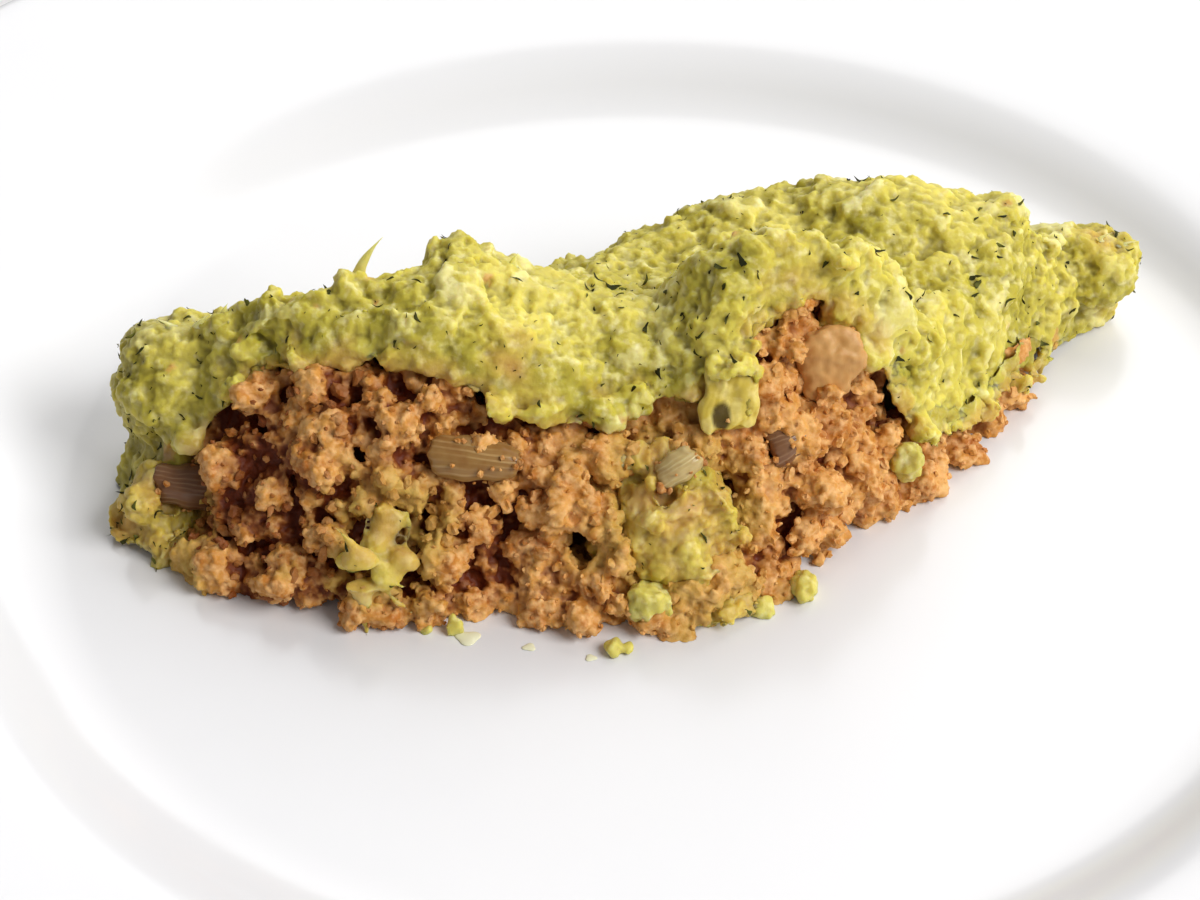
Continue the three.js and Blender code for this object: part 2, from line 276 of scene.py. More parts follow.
def as_one(placed, triangles):
    """Many copies of one small mesh as one set of points and triangles."""
    offsets = (np.arange(len(placed)) * placed.shape[1])[:, None, None]
    return placed.reshape(-1, 3), (triangles[None] + offsets).reshape(-1, 3)


def lumps(centres, radii, rng, fineness=2, stretch=0.25, dents=0.12, chips=0.0):
    """Many uneven lumps with dented sides and chipped corners, as points and triangles."""
    ball, triangles = ball_mesh(fineness)
    count = len(centres)
    sizes = np.asarray(radii)[:, None] * (1 + stretch * rng.uniform(-1, 1, (count, 3)))
    wave = rng.normal(size=(count, 3, 3)) * 1.7
    phase = rng.uniform(0, 2 * math.pi, (count, 1, 3))
    dent = np.sin(np.einsum("vk,nkj->nvj", ball, wave) + phase).sum(-1) / 3
    chip = rng.uniform(-chips, chips, dent.shape)
    shaped = ball[None] * (1 + 2 * dents * dent + chip)[..., None] * sizes[:, None]
    placed = np.einsum("nij,nvj->nvi", turns(count, rng), shaped) + np.asarray(centres)[:, None]
    return as_one(placed, triangles)


def gathered(solids):
    """Several solids' points and faces as one set."""
    points, faces, start = [], [], 0
    for solid_points, solid_faces in solids:
        points.append(solid_points)
        faces.append(solid_faces + start)
        start += len(solid_points)
    return np.concatenate(points), np.concatenate(faces)


def fuse(solids, voxel):
    """One outer surface round overlapping solids, in small quads, as points and faces."""
    points, faces = gathered(solids)
    mesh = bpy.data.meshes.new("fusing")
    mesh.from_pydata(points * MM, [], faces)
    lump = bpy.data.objects.new("fusing", mesh)
    bpy.context.scene.collection.objects.link(lump)
    remesh = lump.modifiers.new("fuse", "REMESH")
    remesh.mode = "VOXEL"
    remesh.voxel_size = voxel * MM
    bpy.context.view_layer.update()
    fused = bpy.data.meshes.new_from_object(lump.evaluated_get(bpy.context.evaluated_depsgraph_get()))
    where = np.empty(len(fused.vertices) * 3)
    fused.vertices.foreach_get("co", where)
    quads = np.empty(len(fused.loops), int)
    fused.loops.foreach_get("vertex_index", quads)
    bpy.data.objects.remove(lump)
    bpy.data.meshes.remove(mesh)
    bpy.data.meshes.remove(fused)
    return where.reshape(-1, 3) / MM, quads.reshape(-1, 4)


SMALLEST_PATCH = 3000  # faces


def keep_faces(points, faces, wanted):
    """The wanted faces alone, less any small patch apart from the rest, and the points they use."""
    faces = faces[wanted]
    label = np.arange(len(points))
    while True:
        lowest = label[faces].min(1)
        for k in range(faces.shape[1]):
            np.minimum.at(label, faces[:, k], lowest)
        label = label[label]
        if (label[faces].min(1) == label[faces].max(1)).all():
            break
    patch = label[faces[:, 0]]
    faces = faces[np.bincount(patch)[patch] > SMALLEST_PATCH]
    used, renumbered = np.unique(faces, return_inverse=True)
    return points[used], renumbered.reshape(faces.shape)


def point_normals(points, quads):
    """The outward direction at each point of a surface of quads."""
    a, b, c, d = (points[quads[:, k]] for k in range(4))
    face_normals = np.cross(c - a, d - b)
    normals = np.zeros_like(points)
    for k in range(4):
        for axis in range(3):
            normals[:, axis] += np.bincount(quads[:, k], face_normals[:, axis], len(points))
    return normals / np.maximum(np.linalg.norm(normals, axis=1), 1e-12)[:, None]


def smoothed(points, quads, rounds):
    """The points after being drawn towards their neighbours a number of times."""
    ends = np.concatenate([quads[:, [k, (k + 1) % 4]] for k in range(4)])
    ends = np.concatenate([ends, ends[:, ::-1]])
    count = np.bincount(ends[:, 0], minlength=len(points))[:, None]
    for _ in range(rounds):
        total = np.stack(
            [np.bincount(ends[:, 0], points[ends[:, 1], axis], len(points)) for axis in range(3)], 1)
        points = 0.4 * points + 0.6 * total / np.maximum(count, 1)
    return points


def hollowness(points, quads, rounds):
    """How far each point lies below the surface round it, in millimetres."""
    return ((smoothed(points, quads, rounds) - points) * point_normals(points, quads)).sum(1)


def waves(points, size, seed):
    """Smooth noise from about -1 to 1, with bumps of a given size."""
    shift = Vector((seed * 7.3, seed * 3.1, seed * 5.7))
    return np.array([noise.noise(Vector(p) / size + shift) for p in points])


def roughened(points, quads, size, height, seed):
    """The points moved along their normals by noise with bumps of a given size."""
    return points + point_normals(points, quads) * (height * waves(points, size, seed))[:, None]


def store(piece, name, values):
    """A number at each point of a piece, which its material reads by name."""
    piece.data.attributes.new(name, "FLOAT", "POINT").data.foreach_set("value", values.astype(np.float32))


def thinned(piece, share):
    """A share of the triangles taken away where the surface is least rough."""
    fewer = piece.modifiers.new("fewer", "DECIMATE")
    fewer.ratio = 1 - share
    bpy.context.view_layer.update()
    mesh = bpy.data.meshes.new_from_object(piece.evaluated_get(bpy.context.evaluated_depsgraph_get()))
    piece.modifiers.clear()
    piece.data = mesh


FOOD_FLOOR = WELL_FLOOR + 0.05
rng = np.random.default_rng(11)
noise.seed_set(11)  # noise_vector follows the clock otherwise
mash_shell, mash_triangles = shell("mash_cover")
mash_tree = tree_of(mash_shell, mash_triangles)
mince_shell, mince_triangles = shell("mince_filling")
mince_tree = tree_of(mince_shell, mince_triangles)
where, outward = scatter(mince_shell, mince_triangles, count=26000, rng=rng)
# the mince is bare where no mash lies close in front of it
COVER_NEAR = 4.0
bare = np.array([
    p[2] > FOOD_FLOOR + 0.6 and n[2] > -0.2
    and mash_tree.ray_cast(Vector(p - 0.2 * n), Vector(n), COVER_NEAR)[0] is None
    for p, n in zip(where, outward)])
bare_tree = near_tree(where[bare])
# how far the fine surfaces run on under the edge of the cover
UNDER_COVER = 5.0
to_bare = distances(bare_tree, where)
shown = (to_bare < UNDER_COVER) & (where[:, 2] > FOOD_FLOOR + 0.4) & (outward[:, 2] > -0.3)
where, outward, to_bare = where[shown], outward[shown], to_bare[shown]

# each course of clumps: the spacing, smallest and largest radius, depth and share left out
CLUMP_COURSES = ((5.2, 1.9, 3.8, 0.0, 0.05), (3.4, 1.2, 2.3, 1.6, 0.0))
CLUMP_SUNK = 0.72  # share of its radius
SET_BACK = 1.3  # for clumps that lie under the cover
clump_places, clump_sizes = [], []
for spacing, smallest, largest, deeper, left_out in CLUMP_COURSES:
    for i in spaced(where, spacing):
        p, n = where[i], outward[i]
        if rng.random() < left_out:
            continue
        size = rng.uniform(smallest, largest)
        relief = 2.2 * noise.noise(Vector(p) / 8.0) + 1.4 * noise.noise(Vector(p) / 3.5)
        set_back = SET_BACK if to_bare[i] > 0.8 else 0
        clump_places.append(p - n * (CLUMP_SUNK * size + deeper - relief + set_back))
        clump_sizes.append(size)
clumps = lumps(clump_places, clump_sizes, rng, fineness=3, stretch=0.35, dents=0.2)
points, quads = fuse([shell("mince_filling", shift=-3.8), clumps], voxel=0.5)
points = roughened(points, quads, size=2.6, height=1.3, seed=20)
clump_triangles = np.concatenate([quads[:, :3], quads[:, [0, 2, 3]]])
seats, seat_normals = scatter(points, clump_triangles, count=60000, rng=rng)
in_open = (distances(bare_tree, seats) < UNDER_COVER) & (seats[:, 2] > FOOD_FLOOR + 0.3)
seats, seat_normals = seats[in_open], seat_normals[in_open]
kept = spaced(seats, spacing=0.95)
grain_sizes = 0.34 + 0.55 * rng.random(len(kept)) ** 2.2
grain_sunk = grain_sizes * rng.uniform(-0.1, 0.6, len(kept))
grain_places = seats[kept] - seat_normals[kept] * grain_sunk[:, None]
grains = lumps(grain_places, grain_sizes, rng, fineness=1, stretch=0.4, dents=0.15, chips=0.3)
points, quads = fuse([(points, clump_triangles), grains], voxel=0.31)
middles = points[quads].mean(1)
wanted = (distances(bare_tree, middles) < UNDER_COVER) & (middles[:, 2] > FOOD_FLOOR)
points, quads = keep_faces(points, quads, wanted)
for size, height, seed in ((1.0, 0.45, 1), (0.5, 0.3, 2)):
    points = roughened(points, quads, size, height, seed)
points[:, 2] = np.maximum(points[:, 2], FOOD_FLOOR)


def to_the_left(points):
    """How far places lie in the left part of the mince, which is painted darker as shade, from 0 to 1."""
    return np.clip((-14 - points[:, 0]) / 30, 0, 1)


# painted shade darkens the hollows, the deeper mince and the left part, which lies away from the lamps
LEFT_SHADE = 0.95
sunk = np.array([-depth_in(mince_tree, p) for p in points])
left_painted_shade = to_the_left(points) * (0.6 + 0.8 * waves(points, size=7.0, seed=16))
mince_painted_shade = 0.1 + 0.75 * hollowness(points, quads, rounds=50) + 0.25 * (sunk - 0.7) + LEFT_SHADE * left_painted_shade
mince_painted_shade = np.clip(mince_painted_shade, 0, 1)

# potato is smeared over the mince near the fallen lumps, and low down at the left end
FALLEN_MASH = ("mash_lump_face", "mash_smear_middle", "mash_lump_left", "mash_lump_near")
fallen_tree = near_tree(np.concatenate([shell(node)[0] for node in FALLEN_MASH]))
creamed = 1.0 - distances(fallen_tree, points) / (4.5 + 5.0 * waves(points, size=4.0, seed=3))
low_left = np.clip((-38 - points[:, 0]) / 8, 0, 1) * np.clip((18 - points[:, 2]) / 5, 0, 1)
creamed += low_left * (0.55 + 0.7 * waves(points, size=5.0, seed=14))

# Browned mince in thin gravy: moist and crumbly, tan on random grains, with red-brown painted
# shade in the hollows, and yellow where mashed potato has smeared over it.
cooked_mince = new_material("cooked_mince")
in_object = add_node(cooked_mince, "ShaderNodeTexCoord").outputs["Object"]
clump_tone, grain_tone, granules = (
    add_node(cooked_mince, "ShaderNodeTexNoise", {"Scale": 1 / (size * MM), "Detail": detail},
             {"Vector": in_object}).outputs["Fac"]
    for size, detail in ((4.5, 3.0), (1.0, 4.0), (0.45, 3.0)))
clump_colour = add_node(cooked_mince, "ShaderNodeValToRGB", (), {"Fac": clump_tone})
ramp = clump_colour.color_ramp
ramp.elements[0].position, ramp.elements[0].color = 0.3, linear("#b26a25")
ramp.elements[1].position, ramp.elements[1].color = 0.7, linear("#dfa659")
ramp.elements.new(0.5).color = linear("#cb8c3e")
painted_shade_and_tone, creamed_share = (
    add_node(cooked_mince, "ShaderNodeAttribute", {"attribute_name": name}).outputs["Fac"]
    for name in ("painted_shade_and_tone", "creamed"))
# paler tan grains at random, smeared potato, and red-brown painted shade, darker where it is deep
mince_colour = layered(cooked_mince, clump_colour.outputs["Color"], (
    (grain_tone, 0.4, 0.72, 0.8, "#f3c486"), (creamed_share, 0.0, 1.0, 1.0, "#c2a44c"),
    (painted_shade_and_tone, 0.0, 1.0, 1.0, "#883f0a"), (painted_shade_and_tone, 0.45, 1.0, 1.0, "#642607")))
mince_bump = add_node(
    cooked_mince, "ShaderNodeBump", {"Strength": 0.8, "Distance": 0.15 * MM},
    {"Height": granules})
mince_roughness = add_node(
    cooked_mince, "ShaderNodeMapRange", {"To Min": 0.4, "To Max": 0.65},
    {"Value": grain_tone})
add_node(
    cooked_mince, "ShaderNodeBsdfPrincipled",
    {"IOR": 1.4, "Specular IOR Level": 0.35, "Subsurface Weight": 0.15, "Subsurface Radius": (1.0, 0.5, 0.2),
     "Subsurface Scale": 0.6 * MM},
    {"Base Color": mince_colour, "Roughness": mince_roughness.outputs["Result"],
     "Normal": mince_bump.outputs["Normal"]})
mince = place("mince_clumps", points, quads, cooked_mince, stands_for=["mince_filling"])
store(mince, "painted_shade_and_tone", mince_painted_shade)
store(mince, "creamed", np.clip(creamed, 0, 1) * 0.85)
thinned(mince, share=0.5)


# ------------------------------------------------------------------ loose mince crumbs
# Angular grains of 0.5 to 1.7 mm that came loose and stand proud of the clumps. They are drier
# and paler than the rest.
MOST_CRUMBS = 1300
clump_normals = point_normals(points, quads)
in_open = distances(bare_tree, points) < 1.6
stands_out = (mince_painted_shade - LEFT_SHADE * left_painted_shade < 0.2) & (points[:, 2] > FOOD_FLOOR + 0.6)
proud = np.flatnonzero(in_open & stands_out)
proud = rng.permutation(proud)
proud = proud[spaced(points[proud], spacing=1.7)][:MOST_CRUMBS]
crumb_sizes = 0.25 + 0.6 * rng.random(len(proud)) ** 3
crumb_lift = crumb_sizes * rng.uniform(-0.2, 0.4, len(proud))
crumb_places = points[proud] + clump_normals[proud] * crumb_lift[:, None]
crumb_points, crumb_triangles = lumps(
    crumb_places, crumb_sizes, rng, stretch=0.4, dents=0.14, chips=0.3)
crumb_points[:, 2] = np.maximum(crumb_points[:, 2], FOOD_FLOOR)
loose = place(
    "mince_crumbs", crumb_points, crumb_triangles.tolist(), cooked_mince, smooth=False)
crumb_centres = crumb_places.repeat(len(ball_mesh(2)[0]), axis=0)
crumb_tone = np.clip(0.1 + 0.6 * waves(crumb_centres, size=0.9, seed=4), 0, 1)
# the crumbs' tone at random, with painted shade over those in the left part
store(loose, "painted_shade_and_tone", crumb_tone * 0.5 + 0.55 * to_the_left(crumb_centres))
store(loose, "creamed", np.clip(1 - distances(fallen_tree, crumb_centres) / 4.5, 0, 1) * 0.7)


# ------------------------------------------------------------------ lump of meat
# One firm, smooth lump of meat, 8 mm wide and 9 mm tall, that the mincer left whole. It stands
# in the broken side just under the mash.
meat_points, meat_quads = fuse([shell("mince_chunk", shift=-0.1)], voxel=0.3)
meat_points = smoothed(meat_points, meat_quads, rounds=5)
for size, height, seed in ((5.0, 1.1, 8), (2.2, 0.6, 21), (0.9, 0.3, 9)):
    meat_points = roughened(meat_points, meat_quads, size, height, seed)
# it lies broad and flat, a little deeper in the mince than its CAD solid
meat_middle = (meat_points.max(0) + meat_points.min(0)) / 2
meat_points = meat_middle + (meat_points - meat_middle) * [1.2, 0.8, 1.05] + [0, 0.9, 0]

# Boiled beef: paler and smoother than the browned mince, with a faint grain along its fibres.
boiled_beef = new_material("boiled_beef")
in_object = add_node(boiled_beef, "ShaderNodeTexCoord").outputs["Object"]
along_fibres = add_node(boiled_beef, "ShaderNodeMapping", {"Scale": (1, 1, 0.3)}, {"Vector": in_object})
fibres = add_node(
    boiled_beef, "ShaderNodeTexNoise", {"Scale": 1 / (1.2 * MM), "Detail": 4.0},
    {"Vector": along_fibres.outputs["Vector"]})
fibre_colour = add_node(
    boiled_beef, "ShaderNodeMix", {"data_type": "RGBA", 6: linear("#b07a3a"), 7: linear("#dcae70")},
    {0: fibres.outputs["Fac"]})
fibre_bump = add_node(
    boiled_beef, "ShaderNodeBump", {"Strength": 0.4, "Distance": 0.15 * MM},
    {"Height": fibres.outputs["Fac"]})
add_node(
    boiled_beef, "ShaderNodeBsdfPrincipled",
    {"IOR": 1.4, "Roughness": 0.42, "Specular IOR Level": 0.35, "Subsurface Weight": 0.25,
     "Subsurface Radius": (1.0, 0.5, 0.3), "Subsurface Scale": 1.0 * MM},
    {"Base Color": fibre_colour.outputs[2], "Normal": fibre_bump.outputs["Normal"]})
place("meat_lump", meat_points, meat_quads, boiled_beef, stands_for=["mince_chunk"])


# ------------------------------------------------------------------ mashed potato cover
# Potato mashed by hand with herbs and left lumpy: broad soft lobes, lumps of 2 to 5 mm that
# didn't break up, and a grainy skin. It was spread over the mince and slumps over its edge.
def potato_lumps(spots, upright, spacing, smallest, largest, sunk, rng):
    """Soft lumps of potato, sunk in a surface, no closer than a spacing."""
    order = rng.permutation(len(spots))
    chosen = order[spaced(spots[order], spacing)]
    size = rng.uniform(smallest, largest, len(chosen))
    centres = spots[chosen] - upright[chosen] * (size * sunk)[:, None]
    return lumps(centres, size, rng, stretch=0.4, dents=0.14)


def lump_domes(points, size, seed):
    """A height from 0 to 1 over soft lumps of a given size, and a random number for each lump."""
    shift = Vector((seed * 7.3, seed * 3.1, seed * 5.7))
    dome, number = np.empty(len(points)), np.empty(len(points))
    for i, p in enumerate(points):
        q = Vector(p) / size + shift
        q += 0.5 * noise.noise_vector(q * 1.3)
        away, centres = noise.voronoi(q)
        dome[i] = 1 - math.exp(-3.5 * (away[1] - away[0]))
        number[i] = noise.cell(centres[0] * 37.0)
    return dome, number


def mashed(points, quads, strength, seed):
    """A smooth surface given unbroken lumps and grain, and a number for each lump."""
    big_dome, big_number = lump_domes(points, 6.6, seed)
    small_dome, small_number = lump_domes(points, 3.1, seed + 1)
    height = 1.1 * big_dome + 0.9 * big_number + 0.3 * small_dome + 0.2 * small_number - 1.0
    height += 1.2 * waves(points, 8.0, seed + 4) + 0.7 * waves(points, 4.4, seed + 5)
    strength = strength * (0.82 + 0.4 * waves(points, 12.0, seed + 7))
    points = points + point_normals(points, quads) * (strength * height)[:, None]
    points = smoothed(points, quads, rounds=4)
    for grain_size, grain_height, next_seed in ((2.4, 0.5, 2), (1.3, 0.5, 3), (0.7, 0.45, 6)):
        points = roughened(points, quads, grain_size, grain_height * strength, seed + next_seed)
    points[:, 2] = np.maximum(points[:, 2], FOOD_FLOOR)
    return points, 0.6 * big_number + 0.4 * small_number


spots, upright = scatter(mash_shell, mash_triangles, count=9000, rng=rng)
from_bare = distances(bare_tree, spots)
above_plate = spots[:, 2] > FOOD_FLOOR + 1.0
broad = np.array([depth_in(mince_tree, p) > 0.9 for p in spots]) & above_plate & (from_bare > 5.5)
lip = (from_bare < 2.0) & (upright[:, 2] < 0.75) & above_plate
lobes = potato_lumps(
    spots[broad], upright[broad], spacing=9.0, smallest=3.2, largest=5.4, sunk=0.94, rng=rng)
hanging = potato_lumps(
    spots[lip], upright[lip], spacing=4.6, smallest=1.3, largest=2.7, sunk=0.45, rng=rng)
# the leek slice lies in the cover's edge, with potato over its upper end
slice_bed = shell("leek_slice", shift=-1.8)
slice_top = np.array(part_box("leek_slice")).mean(0) / MM + [0, 0.6, 3.4]
tuck_places = [slice_top - [2.2, 0, 0], slice_top + [0.4, 0, 0.4], slice_top + [2.6, 0.4, -0.4]]
tucked = lumps(tuck_places, [2.3, 2.0, 2.1], rng, stretch=0.3)
points, quads = fuse([shell("mash_cover"), slice_bed, tucked, lobes, hanging], voxel=0.36)

# the side that lies on the mince is left out where it can't be seen
CONTACT = 1.2
middles = points[quads].mean(1)
facing = point_normals(points, quads)[quads].mean(1)
wanted = middles[:, 2] > FOOD_FLOOR
for i in np.flatnonzero(distances(bare_tree, middles) > UNDER_COVER):
    middle = Vector(middles[i])
    nearest, _, _, apart = mince_tree.find_nearest(middle)
    faces_mince = apart < CONTACT and (nearest - middle).dot(Vector(facing[i])) > 0
    if depth_in(mince_tree, middle) < 0 or faces_mince:
        wanted[i] = False
points, quads = keep_faces(points, quads, wanted)
points = smoothed(points, quads, rounds=5)
points, cover_lump = mashed(points, quads, strength=1.0, seed=4)
near_filling = distances(bare_tree, points)
cover_sunk = np.array([-depth_in(mince_tree, p) for p in points])

# Buttery mashed potato, tinted green by its herbs: moist, faintly translucent and soft-edged,
# paler on its lumps, olive painted shade in its folds, stained tan with gravy where it meets the
# mince, and dark brown painted shade where it sinks below the mince's surface.
mashed_potato = new_material("mashed_potato")
in_object = add_node(mashed_potato, "ShaderNodeTexCoord").outputs["Object"]
lobe_tone, grain_tone, fine_grain = (
    add_node(mashed_potato, "ShaderNodeTexNoise", {"Scale": 1 / (size * MM), "Detail": detail},
             {"Vector": in_object}).outputs["Fac"]
    for size, detail in ((11, 2.0), (1.6, 4.0), (0.5, 3.0)))
lobe_colour = add_node(mashed_potato, "ShaderNodeValToRGB", (), {"Fac": lobe_tone})
ramp = lobe_colour.color_ramp
ramp.elements[0].position, ramp.elements[0].color = 0.32, linear("#b1a538")
ramp.elements[1].position, ramp.elements[1].color = 0.68, linear("#dacb5e")
ramp.elements.new(0.5).color = linear("#c8ba4c")
lump, painted_shade_and_tone, stained, sunk_painted_shade = (
    add_node(mashed_potato, "ShaderNodeAttribute", {"attribute_name": name}).outputs["Fac"]
    for name in ("lump", "painted_shade_and_tone", "stain", "sunk_painted_shade"))
# pale lumps, pale grains, olive painted shade in folds, tan stains and dark brown painted shade
mash_colour = layered(mashed_potato, lobe_colour.outputs["Color"], (
    (lump, 0.4, 0.8, 0.8, "#e6dd98"), (grain_tone, 0.52, 0.75, 0.75, "#ebe3a8"),
    (painted_shade_and_tone, 0.0, 0.7, 0.7, "#867722"), (stained, 0.0, 1.0, 1.0, "#c79850"),
    (sunk_painted_shade, 0.0, 1.0, 1.0, "#5a2a0a")))
mash_bump = add_node(
    mashed_potato, "ShaderNodeBump", {"Strength": 0.7, "Distance": 0.15 * MM},
    {"Height": fine_grain})
mash_roughness = add_node(
    mashed_potato, "ShaderNodeMapRange", {"To Min": 0.3, "To Max": 0.6},
    {"Value": grain_tone})
add_node(
    mashed_potato, "ShaderNodeBsdfPrincipled",
    {"IOR": 1.4, "Specular IOR Level": 0.45, "Subsurface Weight": 0.8, "Subsurface Radius": (1.0, 0.85, 0.3),
     "Subsurface Scale": 2.0 * MM},
    {"Base Color": mash_colour, "Roughness": mash_roughness.outputs["Result"],
     "Normal": mash_bump.outputs["Normal"]})
cover = place("mash_cover_lumpy", points, quads, mashed_potato, stands_for=["mash_cover"])
# painted olive shade, stronger at the left end and behind, where less light falls, over the painted shade in
# the folds
end_painted_shade = 0.45 * np.clip((-52 - points[:, 0]) / 10, 0, 1)
end_painted_shade += 0.15 * np.clip((points[:, 1] - 12) / 10, 0, 1)
store(cover, "painted_shade_and_tone", hollowness(points, quads, rounds=40) + end_painted_shade)
# painted dark brown shade where the cover sinks below the mince's surface
store(cover, "sunk_painted_shade", np.clip(cover_sunk - 0.4, 0, 1))
store(cover, "lump", cover_lump)
stain = 1.0 - near_filling / (3.5 + 5.0 * waves(points, size=4.0, seed=5))
# thin places where gravy has come through: where they lie, and how far they reach
for x, y, reach in ((18.0, -6.0, 6.5), (-17.0, -12.0, 5.0), (62.0, 33.0, 5.0)):
    apart = np.hypot(points[:, 0] - x, points[:, 1] - y)
    patchy = 0.55 + 0.8 * waves(points, size=3.0, seed=15)
    stain = np.maximum(stain, (1 - apart / reach) * patchy)
store(cover, "stain", np.clip(stain, 0, 1) * 0.85)
thinned(cover, share=0.5)
cover_points, cover_normals = points, point_normals(points, quads)


# ------------------------------------------------------------------ mash on the open side
# Spoonfuls of the same potato that fell onto the broken side of the mince and stuck there,
# smeared with gravy.
def wisp(foot, reach, thickness, around=10, steps=14):
    """A thread that leaves its foot, bends over by the reach and tapers to a point."""
    foot, reach = np.asarray(foot, float), np.asarray(reach, float)
    rings = []
    for t in np.linspace(0, 1, steps):
        middle = foot + np.array([reach[0] * t ** 2, reach[1] * t ** 2, reach[2] * t])
        radius = thickness * ((1 - t) ** 1.4 + 0.05) * (1 + 0.15 * math.sin(9 * t + reach[2]))
        angle = np.linspace(0, 2 * math.pi, around, endpoint=False) + 0.6 * t
        rings.append(middle + radius * np.stack([np.cos(angle), 0.7 * np.sin(angle), 0 * angle], 1))
    faces = []
    for i in range(steps - 1):
        for j in range(around):
            here, following = i * around + j, i * around + (j + 1) % around
            faces += [(here, following, following + around), (here, following + around, here + around)]
    last = (steps - 1) * around
    faces += [(0, j + 1, j) for j in range(1, around - 1)]
    faces += [(last, last + j, last + j + 1) for j in range(1, around - 1)]
    return np.concatenate(rings), np.array(faces)


smear_foot = np.array(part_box("mash_smear_middle")[0]) / MM + [3.6, 1.2, 5.0]
# each tip of the smear: where it starts from the foot, its reach and its thickness
SMEAR_TIPS = (((-1.0, -1.0, -2.5), (0.6, -2.2, -9.0), 2.2),
              ((1.5, -0.6, -1.5), (7.8, -2.0, -1.8), 1.7),
              ((1.5, -0.6, -2.5), (6.2, -2.0, -5.2), 1.5),
              ((-1.0, 0.0, 0.0), (-3.4, 1.0, 6.0), 2.2))
fallen_points, fallen_normals = [], []
for node in FALLEN_MASH:
    is_smear = node == "mash_smear_middle"
    spots, upright = scatter(*shell(node, -1.6 if is_smear else 0.0), count=900, rng=rng)
    smallest, largest = (1.2, 2.0) if is_smear else (1.6, 2.8)
    pads = potato_lumps(
        spots, upright, spacing=3.8, smallest=smallest, largest=largest, sunk=0.7, rng=rng)
    drawn_out = [wisp(smear_foot + start, *tip) for start, *tip in SMEAR_TIPS] if is_smear else []
    points, quads = fuse([shell(node, -2.0 if is_smear else -0.4), pads] + drawn_out, voxel=0.32)
    points = smoothed(points, quads, rounds=3)
    points, lump_number = mashed(points, quads, strength=0.4 if is_smear else 0.95, seed=7)
    fallen = place(node + "_lumpy", points, quads, mashed_potato, stands_for=[node])
    # painted olive shade in the creases
    store(fallen, "painted_shade_and_tone", hollowness(points, quads, rounds=26))
    store(fallen, "lump", lump_number)
    store(fallen, "stain", np.clip(0.5 + 0.5 * waves(points, size=4.0, seed=8), 0, 1))
    fallen_points.append(points)
    fallen_normals.append(point_normals(points, quads))
fallen_points, fallen_normals = np.concatenate(fallen_points), np.concatenate(fallen_normals)


# ------------------------------------------------------------------ onion
# Strips cut along the layers of an onion and cooked until clear: thin, curved and ribbed with
# fine parallel veins, stained by the gravy they lie in.
def strip_axes(node):
    """The middle of a CAD slice, its long, wide and thin directions, and its half sizes."""
    corners, triangles = shell(node)
    spread, _ = scatter(corners, triangles, count=4000, rng=np.random.default_rng(1))
    middle = (corners.max(0) + corners.min(0)) / 2
    _, axes = np.linalg.eigh(np.cov((spread - middle).T))
    thin, wide, long = axes.T
    thin = thin if thin[1] < 0 else -thin
    long = long if long[0] > 0 else -long
    wide = np.cross(thin, long)
    halves = [np.abs((corners - middle) @ axis).max() for axis in (long, wide, thin)]
    return middle, np.array([long, wide, thin]), np.array(halves)


def strip_mesh(halves, ribs, curl, rng, steps=48, around=96):
    """A thin strip with rounded edges, ribbed along its length, round its own middle."""
    flesh, rib_height = 0.62, 0.03  # shares of its half thickness
    along = np.sin(np.linspace(-math.pi / 2, math.pi / 2, steps))[1:-1]
    angle = np.linspace(0, 2 * math.pi, around, endpoint=False)
    across, up = np.cos(angle), np.sin(angle)
    squareness = (np.abs(across) ** 5 + np.abs(up) ** 5) ** (-1 / 5)
    x, a = np.meshgrid(along, np.arange(around), indexing="ij")
    closing = (1 - np.abs(x) ** 7) ** (1 / 7)
    y = (across * squareness)[a] * closing
    z = (up * squareness)[a] * closing
    torn = 0.09 * np.sin(2.6 * y + rng.uniform(0, 6)) + 0.03 * np.sin(9 * y + rng.uniform(0, 6))
    edge = 0.1 * np.sin(2.4 * x + rng.uniform(0, 6)) + 0.04 * np.sin(8 * x + rng.uniform(0, 6))
    edge -= 0.05 * x ** 4
    wandering = y + 0.06 * np.sin(2.1 * x + 2 * y)
    rib = np.sin(ribs * math.pi * wandering) * (0.55 + 0.45 * np.sin(5 * y + 2 * x))
    bow = halves[2] * curl * (0.4 - y ** 2 - 0.5 * x ** 2)
    points = np.stack([
        x * halves[0] * (1 + torn),
        y * halves[1] * (1 + edge),
        z * halves[2] * (flesh + rib_height * rib) + bow], -1).reshape(-1, 3)
    faces = [(i * around + j, i * around + (j + 1) % around,
              (i + 1) * around + (j + 1) % around, (i + 1) * around + j)
             for i in range(steps - 3) for j in range(around)]
    last = (steps - 3) * around
    faces += [tuple(range(around))[::-1], tuple(range(last, last + around))]
    return points, faces, rib.reshape(-1), np.stack([x, y, z], -1).reshape(-1, 3)


